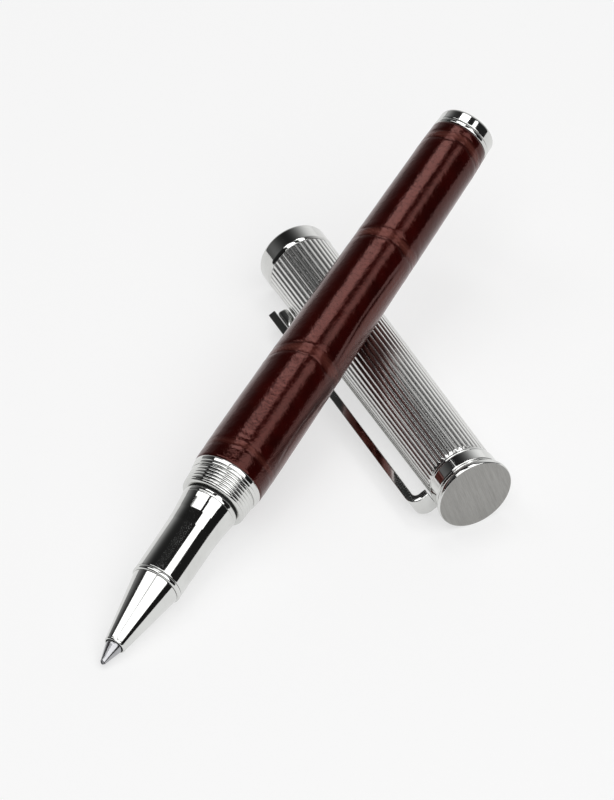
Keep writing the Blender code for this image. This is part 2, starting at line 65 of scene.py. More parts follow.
def upright_to_place(near_node, near_at, far_node):
    """Matrix that lays Z on the line through two rings; X stays on the upper side."""
    near = middle(near_node)
    along = (middle(far_node) - near).normalized()
    start = near - along * near_at * MM
    up = Vector((0.0, 0.0, 1.0))
    out = (up - along * up.dot(along)).normalized()
    side = along.cross(out)
    turn = Matrix((out, side, along)).transposed().to_4x4()
    return Matrix.Translation(start) @ turn


STUB_MIDDLE = 39.1           # from the writing tip
PLUG_MIDDLE = 57.85          # from the cap's lip
PEN = upright_to_place("section_thread_stub", STUB_MIDDLE, "barrel_rear_ring")
CAP = upright_to_place("cap_top_plug", PLUG_MIDDLE, "cap_neck_band")
for label, place in (("pen", PEN), ("cap", CAP)):
    start = [round(c / MM, 2) for c in place.translation]
    print(label, "starts at", start, "and points along", [round(c, 4) for c in place.col[2][:3]])

# %% [markdown]
# ## Camera
# A long lens from a metre away keeps both silhouettes almost parallel. It looks down at 43 degrees, with the
# nose of the pen towards the lower left.

# %% Camera
CAMERA_TARGET = Vector((-7.02, 6.79, 0.0)) * MM
CAMERA_AWAY = Vector((0.6495, -0.3282, 0.6859))      # from the target to the camera
CAMERA_LENS = 173.4
camera_data = bpy.data.cameras.new("camera")
camera_data.sensor_fit = "VERTICAL"
camera_data.sensor_height = 24.0
camera_data.lens = CAMERA_LENS
camera_data.clip_start = 0.01
camera = bpy.data.objects.new("camera", camera_data)
bpy.context.scene.collection.objects.link(camera)
camera.location = CAMERA_TARGET + CAMERA_AWAY.normalized()
camera.rotation_euler = (-CAMERA_AWAY).to_track_quat("-Z", "Y").to_euler()
bpy.context.scene.camera = camera
print("camera", [round(c, 3) for c in camera.location])

# %% [markdown]
# ## Shader arithmetic
# A finish is a sum of small effects, and sums read best as sums. This class wraps a socket, so that `a * b`
# adds the node that multiplies them. One method makes every other kind of node.

# %% Shader arithmetic
class Value:
    """A node's output that can be added, multiplied and so on."""

    def __init__(self, tree, socket):
        self.tree = tree
        self.socket = socket

    def maths(self, operation, *others, clamp=False):
        node = self.tree.nodes.new("ShaderNodeMath")
        node.operation = operation
        node.use_clamp = clamp
        for slot, value in zip(node.inputs, (self, *others)):
            plug(self.tree, slot, value)
        return Value(self.tree, node.outputs[0])

    def __add__(self, other):
        return self.maths("ADD", other)

    def __sub__(self, other):
        return self.maths("SUBTRACT", other)

    def __mul__(self, other):
        return self.maths("MULTIPLY", other)

    def __truediv__(self, other):
        return self.maths("DIVIDE", other)

    def __rsub__(self, other):
        return (self * -1.0) + other

    __radd__ = __add__
    __rmul__ = __mul__

    def clamped(self):
        return self.maths("ADD", 0.0, clamp=True)

    def power(self, exponent):
        return self.maths("POWER", exponent)

    def between(self, low, high):
        """0 below low, 1 above high."""
        return ((self - low) / (high - low)).clamped()


def plug(tree, slot, value):
    if isinstance(value, Value):
        tree.links.new(value.socket, slot)
    elif hasattr(slot.default_value, "__len__") and not isinstance(value, (int, float)):
        size = len(slot.default_value)
        slot.default_value = (*value, 1.0)[:size]
    else:
        slot.default_value = value


class Finish:
    """A material: its tree, its shader and a method that makes nodes."""

    def __init__(self, name, **constants):
        self.material = bpy.data.materials.new(name)
        self.material.use_nodes = True
        self.tree = self.material.node_tree
        self.shader = self.tree.nodes["Principled BSDF"]
        for socket, value in constants.items():
            plug(self.tree, self.shader.inputs[socket.replace("_", " ")], value)

    def make(self, kind, settings, inputs, output=0):
        node = self.tree.nodes.new("ShaderNode" + kind)
        for name, value in settings.items():
            setattr(node, name, value)
        for name, value in inputs.items():
            plug(self.tree, node.inputs[name], value)
        return Value(self.tree, node.outputs[output])

    def coordinates(self, place, scale=(1.0, 1.0, 1.0)):
        """Object coordinates seen from a piece's own upright frame, in millimetres."""
        raw = self.make("TexCoord", {}, {}, "Object")
        turned = self.make("Mapping", {"vector_type": "TEXTURE"}, {
            "Vector": raw,
            "Location": place.translation,
            "Rotation": place.to_euler(),
            "Scale": (MM, MM, MM),
        })
        if scale == (1.0, 1.0, 1.0):
            return turned
        return self.make("VectorMath", {"operation": "MULTIPLY"}, {0: turned, 1: scale})

    def noise(self, vector, scale, detail=3.0, roughness=0.5, distortion=0.0):
        return self.make("TexNoise", {}, {
            "Vector": vector, "Scale": scale, "Detail": detail, "Roughness": roughness,
            "Distortion": distortion,
        })

    def mix(self, share, first, second):
        """A colour between two colours. The node has its colour sockets after those of other kinds."""
        return self.make("Mix", {"data_type": "RGBA"}, {0: share, 6: first, 7: second}, 2)

    def bump(self, height, strength, distance):
        return self.make("Bump", {}, {"Strength": strength, "Distance": distance, "Height": height})

    def paint(self, **links):
        for socket, value in links.items():
            plug(self.tree, self.shader.inputs[socket.replace("_", " ")], value)
        return self.material


# %% [markdown]
# ## Polished chrome
# Plated brass is almost a mirror. What tells it from a computer's mirror is what hands leave on it: a faint
# cloudiness that changes the roughness a little, and hairlines from wiping. Both are kept very weak, because
# the hard edges of the reflections are what makes it chrome.

# %% Polished chrome
CHROME_LIGHT = (0.70, 0.705, 0.69)
CHROME_DARK = (0.62, 0.62, 0.605)
CHROME_ROUGHNESS = 0.045


def chrome(name, place):
    finish = Finish(name, Metallic=1.0)
    spot = finish.coordinates(place)
    cloud = finish.noise(spot, 0.16, 4.0, 0.6)
    wiped = finish.noise(finish.coordinates(place, (6.0, 6.0, 0.35)), 1.3, 2.0, 0.7)
    smear = cloud.between(0.42, 0.72)
    return finish.paint(
        Base_Color=finish.mix(smear, CHROME_LIGHT, CHROME_DARK),
        Roughness=smear * 0.05 + wiped * 0.02 + CHROME_ROUGHNESS,
        Normal=finish.bump(wiped, 0.04, 0.004 * MM),
    )


CHROME_PEN = chrome("polished_chrome_pen", PEN)
CHROME_CAP = chrome("polished_chrome_cap", CAP)

# %% [markdown]
# ## Making turned pieces
# A turned piece is half of its section, spun round the axis. The section starts as a plane whose four points
# are merged into one, and that point is extruded from corner to corner. Corners that are rounded on the real
# piece are bevelled while the section is still a thin line, which gives even, clean edges after the spin.

# %% Helpers for working in edit mode
STEPS = 160                  # sides of a turned piece
HOLD = 0.08                  # how far a holding point lies from a corner, in millimetres
CORNER_SEGMENTS = 4          # of a rounded corner
SHARP = math.radians(35.0)   # a steeper edge than this stays sharp
WELD = 0.0005 * MM           # points nearer than this are merged


def choose(piece):
    bpy.ops.object.select_all(action="DESELECT")
    piece.select_set(True)
    bpy.context.view_layer.objects.active = piece


def pick_points(piece, wanted):
    """In edit mode, selects only the points whose place is wanted."""
    bpy.ops.mesh.select_mode(type="VERT")
    bpy.ops.mesh.select_all(action="DESELECT")
    bpy.ops.object.mode_set(mode="OBJECT")
    for point in piece.data.vertices:
        point.select = wanted(point.co)
    bpy.ops.object.mode_set(mode="EDIT")


def near(target, reach=0.004 * MM):
    return lambda place: (place - target).length < reach


def section_point(corner):
    along, radius = corner[:2]
    return Vector((radius * MM, 0.0, along * MM))


def rounding_reach(corner):
    """How far a corner's rounding runs along its sides, with something to spare."""
    return (corner[2] if len(corner) == 3 else 0.0) * 1.3


def with_holding_points(outline):
    """Adds a point near both ends of each long run, so that a rounding can't bend the light beside it."""
    held = []
    for this, following in zip(outline, outline[1:]):
        held.append(this)
        start, end = section_point(this), section_point(following)
        length = (end - start).length / MM
        first, last = rounding_reach(this) + HOLD, rounding_reach(following) + HOLD
        if length > first + last + HOLD:
            for at in (first, length - last):
                place = start.lerp(end, at / length) / MM
                held.append((place.z, place.x))
    return held + [outline[-1]]


def draw_line(name, points):
    """A thin line through the points, left in edit mode. It grows from a plane merged into one point."""
    bpy.ops.object.select_all(action="DESELECT")
    bpy.ops.mesh.primitive_plane_add(size=MM)
    piece = bpy.context.object
    piece.name = name
    piece.data.name = name
    bpy.ops.object.mode_set(mode="EDIT")
    bpy.ops.mesh.select_mode(type="VERT")
    bpy.ops.mesh.merge(type="CENTER")
    bpy.ops.transform.translate(value=points[0])
    for this, following in zip(points, points[1:]):
        bpy.ops.mesh.extrude_vertices_move(TRANSFORM_OT_translate={"value": following - this})
    return piece


def draw_section(name, outline, closed):
    """The outline as a line, whose corners are (along, radius) or (along, radius, rounding)."""
    piece = draw_line(name, [section_point(corner) for corner in outline])
    if closed:
        ends = [section_point(outline[0]), section_point(outline[-1])]
        pick_points(piece, lambda place: any(near(end)(place) for end in ends))
        bpy.ops.mesh.edge_face_add()
    for corner in outline:
        if len(corner) == 3:
            pick_points(piece, near(section_point(corner)))
            bpy.ops.mesh.bevel(offset=corner[2] * MM, segments=CORNER_SEGMENTS, affect="VERTICES")
    return piece


def spin_section(piece, steps):
    bpy.ops.mesh.select_all(action="SELECT")
    bpy.ops.mesh.spin(steps=steps, angle=math.tau, center=(0, 0, 0), axis=(0, 0, 1))
    bpy.ops.mesh.select_all(action="SELECT")
    bpy.ops.mesh.remove_doubles(threshold=WELD)
    bpy.ops.mesh.normals_make_consistent(inside=False)
    bpy.ops.object.mode_set(mode="OBJECT")


def even_normals(piece):
    """Smooth shading that keeps flats flat: big faces decide the normals beside a small bevel."""
    choose(piece)
    bpy.ops.object.shade_smooth_by_angle(angle=SHARP)
    weighted = piece.modifiers.new("even", "WEIGHTED_NORMAL")
    weighted.keep_sharp = True
    bpy.ops.object.modifier_apply(modifier=weighted.name)


def dress(piece, place, body, material, node):
    """Lays the finished piece in its place, hangs it on the body it rides on and hides the model's piece it
    stands for.
    """
    piece.data.transform(place)
    even_normals(piece)
    piece.data.materials.clear()
    piece.data.materials.append(material)
    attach(piece, body)
    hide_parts(node)
    low, high = bounds_of(piece)
    print(f"{piece.name}: {len(piece.data.polygons)} faces, from {low} to {high} mm")


def bounds_of(piece):
    points = np.empty(len(piece.data.vertices) * 3)
    piece.data.vertices.foreach_get("co", points)
    points = points.reshape(-1, 3) / MM
    return [[round(float(c), 2) for c in side] for side in (points.min(0), points.max(0))]


def turned(name, outline, place, body, material, slot, node, closed=True, steps=STEPS):
    piece = draw_section(name, with_holding_points(outline), closed)
    spin_section(piece, steps)
    dress(piece, place, body, material, node)
    return piece


# %% [markdown]
# ## The front of the pen
# From the tip back: a slim steel point with its ball, a chrome cone, a thin bead, the grip, which widens at
# its rear in a short cone, and the black ring in the joint. The cone's mouth has a small rounded rim of its
# own. Each outline runs round a piece from its front, and a third number is the rounding of that corner.

# %% Sizes of the front, in millimetres from the tip
NOSE = [(4.02, 1.64, 0.05), (4.0, 1.84, 0.1), (4.35, 1.98, 0.12), (4.5, 1.95), (17.2, 4.22, 0.06),
        (17.24, 3.5), (8.0, 1.64)]
STEP_BEAD = [(17.26, 3.5), (17.26, 4.3, 0.1), (17.42, 4.52, 0.12), (17.86, 4.56, 0.14),
             (18.08, 4.44, 0.08), (18.1, 3.5)]
GRIP = [(18.14, 3.5), (18.14, 4.44, 0.05), (18.26, 4.5, 0.05), (28.6, 4.56), (31.2, 4.70), (33.4, 4.93),
        (34.4, 5.06, 0.04), (34.5, 4.98, 0.04), (34.62, 5.02, 0.05), (34.74, 5.06, 0.05),
        (35.3, 5.06, 0.12), (35.42, 4.85, 0.06), (35.42, 4.06), (30.3, 4.06), (30.3, 3.5)]
SEAL = [(35.46, 4.06), (35.46, 4.8, 0.06), (35.72, 4.8, 0.06), (35.72, 4.06)]
POINT = [(0.38, 0.4), (0.36, 0.5, 0.03), (0.75, 0.58, 0.1), (3.7, 1.45, 0.15), (5.2, 1.45), (5.2, 0.0),
         (0.8, 0.0), (0.8, 0.4)]
POINT_STEPS = 64

# %% [markdown]
# The rubber of the joint ring is matt and a little uneven, which keeps it from looking like a gap.

# %% Rubber, bare steel and the ball
def rubber():
    finish = Finish("black_rubber", Metallic=0.0)
    grain = finish.noise(finish.coordinates(PEN), 6.0, 4.0, 0.6)
    return finish.paint(
        Base_Color=finish.mix(grain, (0.006, 0.006, 0.006), (0.02, 0.02, 0.019)),
        Roughness=grain * 0.2 + 0.5,
        Normal=finish.bump(grain, 0.3, 0.02 * MM),
    )


def bare_steel(name, place, light, dark, roughness):
    """Steel as the lathe leaves it: fine rings round the axis."""
    finish = Finish(name, Metallic=1.0)
    rings = finish.noise(finish.coordinates(place, (0.6, 0.6, 14.0)), 1.0, 3.0, 0.6)
    stain = finish.noise(finish.coordinates(place), 0.8, 3.0, 0.5)
    return finish.paint(
        Base_Color=finish.mix(stain, light, dark),
        Roughness=rings * 0.12 + roughness,
        Normal=finish.bump(rings, 0.12, 0.006 * MM),
    )


RUBBER = rubber()
STEEL = bare_steel("turned_steel", PEN, (0.46, 0.46, 0.47), (0.34, 0.34, 0.36), 0.12)
DARK_STEEL = bare_steel("hard_metal", PEN, (0.22, 0.22, 0.23), (0.14, 0.14, 0.15), 0.1)

# %% Make the front
turned("nose_cone_polished", NOSE, PEN, "section", CHROME_PEN, "chrome", "nose_cone")
turned("step_bead", STEP_BEAD, PEN, "section", CHROME_PEN, "chrome", "section_step_ring")
turned("grip_polished", GRIP, PEN, "section", CHROME_PEN, "chrome", "grip_section")
turned("joint_ring", SEAL, PEN, "seal", RUBBER, "black_rubber", "section_seal_ring")
turned("refill_point", POINT, PEN, "refill", STEEL, "steel", "refill_tip", steps=POINT_STEPS)

# %% [markdown]
# The ball is the one true sphere. It is worn to a slight flat where it writes, and sits in the point's
# socket.

# %% The ball
BALL_RADIUS = 0.35 * MM
WORN_BELOW = -0.33 * MM      # from the ball's centre
WORN_SPREAD = 1.15


def writing_ball():
    bpy.ops.object.select_all(action="DESELECT")
    bpy.ops.mesh.primitive_uv_sphere_add(segments=48, ring_count=24, radius=BALL_RADIUS)
    ball = bpy.context.object
    ball.name = "writing_ball"
    bpy.ops.object.mode_set(mode="EDIT")
    pick_points(ball, lambda place: place.z < WORN_BELOW)
    spread = (WORN_SPREAD, WORN_SPREAD, 1.0)
    bpy.ops.transform.resize(value=spread, center_override=(0, 0, WORN_BELOW))
    bpy.ops.object.mode_set(mode="OBJECT")
    ball.data.transform(Matrix.Translation((0.0, 0.0, BALL_RADIUS)))
    dress(ball, PEN, "ball", DARK_STEEL, "refill_ball")


writing_ball()

# %% [markdown]
# ## The collar
# The cap screws onto a ridged collar. Its front edge is a broad bright round, then come five fine ridges,
# each a little wider than the one before. Behind them lies a smooth ring with one thin dark groove.

# %% Collar and front ring
RIDGE_COUNT = 5
RIDGES_FROM = 36.3
RIDGE_PITCH = 0.62
RIDGE_DEPTH = 0.2
RIDGE_HALF = 0.14            # half of a crest's flat
RIDGE_RADIUS, RIDGE_GROWTH = 5.92, 0.03
collar = [(35.76, 4.06), (35.76, 5.0, 0.08), (35.78, 5.45, 0.1), (35.95, 5.78, 0.15), (36.15, 5.86, 0.08),
          (RIDGES_FROM, 5.74, 0.05)]
for ridge in range(RIDGE_COUNT):
    crest = RIDGES_FROM + (ridge + 0.5) * RIDGE_PITCH
    radius = RIDGE_RADIUS + RIDGE_GROWTH * ridge
    collar.append((crest - RIDGE_HALF, radius, 0.1))
    collar.append((crest + RIDGE_HALF, radius, 0.1))
    collar.append((crest + RIDGE_PITCH / 2, radius - RIDGE_DEPTH, 0.04))
collar += [(39.5, 5.9), (39.5, 4.96), (49.3, 4.96), (49.3, 4.06)]
turned("thread_collar_ridged", collar, PEN, "barrel", CHROME_PEN, "chrome", "thread_collar")
FRONT_RING = [(39.53, 5.0), (39.53, 6.1, 0.06), (39.66, 6.22, 0.06), (40.0, 6.26, 0.06), (40.1, 6.16, 0.03),
              (40.2, 6.3, 0.05), (40.8, 6.42, 0.12), (40.96, 6.36, 0.06), (40.96, 5.0)]
turned("front_ring_polished", FRONT_RING, PEN, "barrel", CHROME_PEN, "chrome", "barrel_front_ring")

# %% [markdown]
# ## The rear end
# A narrow bright bead holds the leather, then a dark groove, then the end cap with a rounded rim.

# %% Rear bead and end cap
REAR_BEAD = [(120.95, 3.6), (120.95, 5.2, 0.06), (121.08, 5.34, 0.1), (121.6, 5.35, 0.12),
             (121.74, 5.18, 0.05), (121.74, 3.6)]
END_CAP = [(121.82, 1.56), (121.82, 5.14, 0.04), (121.94, 5.27, 0.08), (123.8, 5.26, 0.28),
           (124.2, 4.82, 0.2), (124.2, 4.3), (124.12, 4.2, 0.04), (124.12, 0.0), (123.1, 0.0), (123.1, 1.56)]
turned("rear_bead", REAR_BEAD, PEN, "barrel", CHROME_PEN, "chrome", "barrel_rear_ring")
turned("end_cap_polished", END_CAP, PEN, "barrel", CHROME_PEN, "chrome", "barrel_end_cap", closed=False)

# %% [markdown]
# ## Crocodile leather
# The sleeve is one piece of leather with long, glossy scales. The scales meet in wrinkled bands across the
# pen and in creases along its flanks. Those are deep enough to change the outline, so they are real shape:
# the sleeve is spun from a finely divided section, and every point is then raised or sunk by a height that
# is the sum of band, crease and unevenness. How far each point lies in a fold or in a groove is stored on
# it too, so that the finish can change there.

# %% The barrel's outline, in millimetres
LEATHER_START = 41.0
LEATHER_END = 120.9
FULL_AT, FULL_RADIUS = 47.0, 6.5              # from here the barrel tapers to the rear
TAPER = 0.0145                                # radius lost on each millimetre
SWELL_AT, SWELL_LENGTH, SWELL = 60.0, 9.0, 0.05
FRONT_LENGTH, FRONT_CURVE, FRONT_DROP = 6.0, 0.14, 0.02
REAR_AT, REAR_LENGTH, REAR_DROP = 117.5, 2.8, 0.1
EDGE_LENGTH, EDGE_DROP = 0.3, 0.16            # where the leather is turned in at its ends


def hump(distance, width):
    """1 in the middle, falling smoothly to nothing on both sides."""
    return math.exp(-((distance / width) ** 2))


def leather_radius(along):
    radius = FULL_RADIUS - TAPER * (along - FULL_AT) + SWELL * hump(along - SWELL_AT, SWELL_LENGTH)
    if along < FULL_AT:
        radius -= FRONT_CURVE * ((FULL_AT - along) / FRONT_LENGTH) ** 2 + FRONT_DROP
    if along > REAR_AT:
        radius -= REAR_DROP * math.sin((along - REAR_AT) / REAR_LENGTH * math.pi / 2)
    edge = min(along - LEATHER_START, LEATHER_END - along)
    if edge < EDGE_LENGTH:
        radius -= EDGE_DROP * (1.0 - edge / EDGE_LENGTH) ** 2
    return radius


# %% [markdown]
# A band has a groove along each side, wrinkles that wander inside it, and leather pushed up on both sides. A
# flank crease is one long groove with a fainter one beside it, and soft ripples beyond. Slow noise bends and
# fades all of them, so that no two places are alike.

# %% The folds of the leather
# A band is (along, half width, depth), a flank (from, to, degrees) and an unevenness (size, seed, height).
BANDS = [(44.0, 0.7, 0.6), (66.0, 1.1, 1.0), (93.6, 1.1, 1.0), (117.4, 0.9, 0.9)]
GROOVE_WIDTH, GROOVE_DEPTH = 0.16, 0.1
BAND_SINK, WRINKLE_HEIGHT, CROSSING_HEIGHT = 0.03, 0.035, 0.03
BANK_AT, BANK_WIDTH, BANK_HEIGHT = 1.9, 0.7, 0.035
FLANKS = [(46.5, 64.5, 84.0), (67.5, 92.0, 64.0), (95.0, 116.5, 128.0)]
FLANK_OFFSET, FLANK_BOW, FLANK_WANDER = 26.0, 6.0, 4.0       # degrees
CREASE_DEPTH, FLANK_RIPPLE, CREASE_BANK = 0.045, 0.006, 0.02
UNEVENNESS = [(4.5, 11.0, 0.02), (1.3, 21.0, 0.011), (0.7, 31.0, 0.006)]


def swirl(place, size, seed):
    """Smooth unevenness between -1 and 1, with lumps of about this size in millimetres."""
    return noise.noise(Vector(place) / size + Vector((seed, seed * 0.37, -seed)))


def band_shape(place, along, angle):
    """Height, fold and groove of the wrinkled bands that cross the pen."""
    height, fold, line = 0.0, 0.0, 0.0
    for centre, half, depth in BANDS:
        bow = math.sin(math.radians(angle) + 0.6) + swirl(place, 5.0, centre)
        away = along - centre - bow
        if abs(away) > 3.0 * half + 1.0:
            continue
        live = depth * (0.75 + 0.45 * swirl(place, 3.5, centre + 3.0))
        front = hump(away + half, GROOVE_WIDTH)
        rear = hump(away - half, GROOVE_WIDTH) * (0.7 + 0.6 * swirl(place, 2.5, centre + 9.0))
        inside = hump(away, half * 0.8)
        wrinkle = math.sin(away * 12.0 + 7.0 * swirl(place, 1.5, centre + 7.0))
        crossing = swirl((place[0], place[1], place[2] * 2.5), 0.8, centre + 13.0)
        banks = hump(away + half * BANK_AT, BANK_WIDTH) + hump(away - half * BANK_AT, BANK_WIDTH)
        wrinkled = inside * (-BAND_SINK + WRINKLE_HEIGHT * wrinkle + CROSSING_HEIGHT * crossing)
        height += live * (-GROOVE_DEPTH * (front + rear) + wrinkled)
        height += live * BANK_HEIGHT * banks
        fold = max(fold, live * inside * (0.8 + 0.2 * wrinkle))
        line = max(line, live * (front + 0.7 * rear))
    return height, fold, line


def flank_shape(place, along, angle):
    """Height, fold and groove of the creases that run along the flanks between the bands."""
    height, fold, line = 0.0, 0.0, 0.0
    for start, end, side in FLANKS:
        if not start - 1.0 < along < end + 1.0:
            continue
        share = (along - start) / (end - start)
        fade = min(1.0, max(0.0, min(along - start + 1.0, end + 1.0 - along) / 3.0))
        for sign, offset in ((1.0, 0.0), (-1.0, FLANK_OFFSET)):
            bow = FLANK_BOW * math.sin(share * math.pi) ** 2
            turn = side + offset - bow + FLANK_WANDER * swirl(place, 9.0, side)
            away = (angle * sign - turn) * math.radians(1.0) * 6.0
            if not -2.0 < away < 6.0:
                continue
            crease = hump(away, 0.3) + 0.3 * hump(away - 1.1, 0.25)
            beyond = min(1.0, max(0.0, away)) * min(1.0, max(0.0, (6.0 - away) / 3.0))
            stretched = (place[0], place[1], place[2] / 3.0)
            ripple = math.sin(away * 6.5 + 4.0 * swirl(stretched, 2.0, side + 5.0))
            bank = hump(away + 0.8, 0.6)
            height += fade * (-CREASE_DEPTH * crease + FLANK_RIPPLE * beyond * ripple + CREASE_BANK * bank)
            fold = max(fold, fade * beyond * 0.45)
            line = max(line, fade * 0.55 * crease)
    return height, fold, line


def leather_height(place, along, angle):
    band = band_shape(place, along, angle)
    flank = flank_shape(place, along, angle)
    uneven = sum(height * swirl(place, size, seed) for size, seed, height in UNEVENNESS)
    fold = min(1.0, max(0.0, band[1], flank[1]))
    line = min(1.0, max(0.0, band[2], flank[2]))
    return band[0] + flank[0] + uneven, fold, line


# %% [markdown]
# The leather is dyed a very deep burgundy, lighter and duller on the folds. Painted shade darkens it in the
# grooves. The glaze over it mirrors the lights in the leather's own red, with a fine grain: short ripples
# across the pen, about two to a millimetre, and pores between them that make the gloss uneven.

# %% Leather finish
DYE_DEEP = (0.012, 0.0006, 0.0004)
DYE_THIN = (0.026, 0.0012, 0.0008)
FOLD_COLOUR = (0.115, 0.034, 0.025)
# Painted shade: the colour below darkens the grooves.
GROOVE_PAINTED_SHADE = (0.007, 0.0006, 0.0004)


def leather():
    finish = Finish("burgundy_leather", Metallic=0.0, IOR=1.37, Coat_Roughness=0.11, Coat_IOR=1.5,
                    Specular_Tint=(1.0, 0.38, 0.32), Sheen_Weight=0.05, Sheen_Roughness=0.35,
                    Sheen_Tint=(1.0, 0.3, 0.25))
    finish.shader.inputs["Specular IOR Level"].default_value = 0.98
    spot = finish.coordinates(PEN)
    fold = finish.make("Attribute", {"attribute_name": "fold"}, {}, "Fac")
    groove_line = finish.make("Attribute", {"attribute_name": "groove"}, {}, "Fac")
    patches = finish.noise(spot, 0.22, 4.0, 0.6)
    pores = finish.noise(spot, 4.2, 2.0, 0.6)
    ripples = finish.noise(finish.coordinates(PEN, (1.0, 1.0, 1.6)), 1.25, 1.5, 0.5, 1.2)
    dye_and_shade = finish.mix(patches.between(0.3, 0.7), DYE_DEEP, DYE_THIN)
    dye_and_shade = finish.mix((fold * 0.8).clamped(), dye_and_shade, FOLD_COLOUR)
    # Painted shade darkens the grooves here.
    dye_and_shade = finish.mix((groove_line * 0.8).clamped(), dye_and_shade, GROOVE_PAINTED_SHADE)
    grain = ripples + pores * 0.25
    return finish.paint(
        Base_Color=dye_and_shade,
        Roughness=fold * 0.15 + pores * 0.12 + 0.08,
        Coat_Weight=(0.05 - fold * 0.05).clamped(),
        Normal=finish.bump(grain, 0.7, 0.055 * MM),
    )


LEATHER = leather()

# %% Make the sleeve
SLEEVE_STEP = 0.24
SLEEVE_SIDES = 176
SLEEVE_WALL = 0.55
BORE_AT, BORE_RADIUS = 80.0, 5.22             # the bore narrows to this in its middle


def leather_sleeve():
    count = round((LEATHER_END - LEATHER_START) / SLEEVE_STEP)
    stations = [LEATHER_START + (LEATHER_END - LEATHER_START) * i / count for i in range(count + 1)]
    outline = [(along, leather_radius(along)) for along in stations]
    outline += [(LEATHER_END, leather_radius(LEATHER_END) - SLEEVE_WALL), (BORE_AT, BORE_RADIUS),
                (LEATHER_START, leather_radius(LEATHER_START) - SLEEVE_WALL)]
    sleeve = draw_section("crocodile_leather_sleeve", outline, True)
    spin_section(sleeve, SLEEVE_SIDES)
    sleeve.data.attributes.new("fold", "FLOAT", "POINT")
    sleeve.data.attributes.new("groove", "FLOAT", "POINT")
    folds = sleeve.data.attributes["fold"].data
    grooves = sleeve.data.attributes["groove"].data
    for point, fold, line in zip(sleeve.data.vertices, folds, grooves):
        along = point.co.z / MM
        radius = math.hypot(point.co.x, point.co.y) / MM
        if radius < leather_radius(along) - 0.3:
            continue
        angle = math.degrees(math.atan2(point.co.y, point.co.x))
        height, fold.value, line.value = leather_height(point.co / MM, along, angle)
        grown = (radius + height) / radius
        point.co = (point.co.x * grown, point.co.y * grown, point.co.z)
    dress(sleeve, PEN, "barrel", LEATHER, "leather_sleeve")


leather_sleeve()

# %% [markdown]
# ## The cap's band and flutes
# The lip is a smooth band with a bright sloping shoulder. Inside its mouth are the threads for the collar.

# %% Lip band
THREADS = 5
THREAD_FROM, THREAD_PITCH = 0.6, 0.5
THREAD_ROOT, THREAD_CREST = 6.12, 6.0
lip = [(8.5, 5.32), (8.5, 5.86), (4.02, 5.9), (4.02, 6.3, 0.05), (3.42, 6.5, 0.12), (0.3, 6.5, 0.2),
       (0.0, 6.3, 0.12), (0.0, 6.12, 0.08), (0.35, 6.0)]
for thread in range(THREADS):
    root = THREAD_FROM + thread * THREAD_PITCH
    lip += [(root, THREAD_ROOT, 0.04), (root + THREAD_PITCH / 2, THREAD_CREST, 0.04)]
lip += [(3.3, 6.05), (3.9, 5.34)]
turned("lip_band_polished", lip, CAP, "cap", CHROME_CAP, "chrome", "cap_lip_ring")

# %% [markdown]
# The tube has forty rounded ridges that meet in sharp valleys. One ridge is drawn, extruded along the tube
# and spun into forty copies, which are merged. At both ends the cutter has left the ridges with sloping
# ends, so there the points are held under a cone.

# %% Fluted finish
def fluted_chrome():
    """Chrome that is duller down in the valleys, where no cloth reaches, and darkened there by painted
    shade.
    """
    finish = Finish("fluted_chrome", Metallic=1.0)
    spot = finish.coordinates(CAP)
    depth = finish.make("Attribute", {"attribute_name": "valley"}, {}, "Fac")
    cloud = finish.noise(spot, 0.3, 4.0, 0.6)
    hair = finish.noise(finish.coordinates(CAP, (9.0, 9.0, 0.5)), 1.1, 3.0, 0.7)
    # Painted shade: the base colour darkens down in the valleys, and cloudy smudges vary it at random. The
    # same share raises the roughness there.
    dull_and_shade = (depth * 0.8 + cloud * 0.3).clamped()
    return finish.paint(
        Base_Color=finish.mix(dull_and_shade, (0.78, 0.78, 0.765), (0.45, 0.45, 0.44)),
        Roughness=dull_and_shade * 0.12 + hair * 0.04 + 0.14,
    )


FLUTED = fluted_chrome()

# %% Fluted tube
RIDGES = 40
RIDGE_SIDES = 8
RIDGE_HEIGHT = 0.15
TUBE_START, TUBE_END = 4.06, 63.2
TUBE_RADIUS, TUBE_TAPER = 6.42, 0.42
TUBE_WALL = 0.5
SKIN = 0.3                                    # points less deep than this belong to the outside
END_SLOPE = 0.6
LIP_STEEPER = 3.0                             # the slope beside the lip is shorter by this
END_CUT = 1.1                                 # how far down the slope goes, in ridge heights
END_STEP, END_STEPS = 0.12, 6                 # fine rows where the ends slope
LONG_FROM, LONG_STEP, LONG_STEPS = 1.2, 9.4, 7
TOUCH = 0.001 * MM


def tube_radius(along):
    return TUBE_RADIUS - TUBE_TAPER * (along - TUBE_START) / (TUBE_END - TUBE_START)


def fluted_tube():
    corners = []
    for i in range(RIDGE_SIDES + 1):
        across = i / RIDGE_SIDES - 0.5
        radius = (TUBE_RADIUS - RIDGE_HEIGHT * (2.0 * across) ** 2) * MM
        turn = math.tau * across / RIDGES
        corners.append(Vector((radius * math.cos(turn), radius * math.sin(turn), TUBE_START * MM)))
    tube = draw_line("fluted_tube", corners)
    bpy.ops.mesh.select_all(action="SELECT")
    ends = [END_STEP * i for i in range(1, END_STEPS + 1)]
    stations = [TUBE_START + end for end in ends]
    stations += [TUBE_START + LONG_FROM + LONG_STEP * i for i in range(LONG_STEPS)]
    stations += [TUBE_END - end for end in reversed(ends)] + [TUBE_END]
    at = TUBE_START
    for station in stations:
        bpy.ops.mesh.extrude_edges_move(TRANSFORM_OT_translate={"value": (0, 0, (station - at) * MM)})
        share = tube_radius(station) / tube_radius(at)
        bpy.ops.transform.resize(value=(share, share, 1.0), center_override=(0, 0, station * MM))
        at = station
    bpy.ops.mesh.select_all(action="SELECT")
    bpy.ops.mesh.spin(steps=RIDGES, dupli=True, angle=math.tau, center=(0, 0, 0), axis=(0, 0, 1))
    bpy.ops.mesh.select_all(action="SELECT")
    bpy.ops.mesh.remove_doubles(threshold=TOUCH)
    close_tube(tube)
    bpy.ops.object.mode_set(mode="OBJECT")
    slope_ends(tube)
    return tube


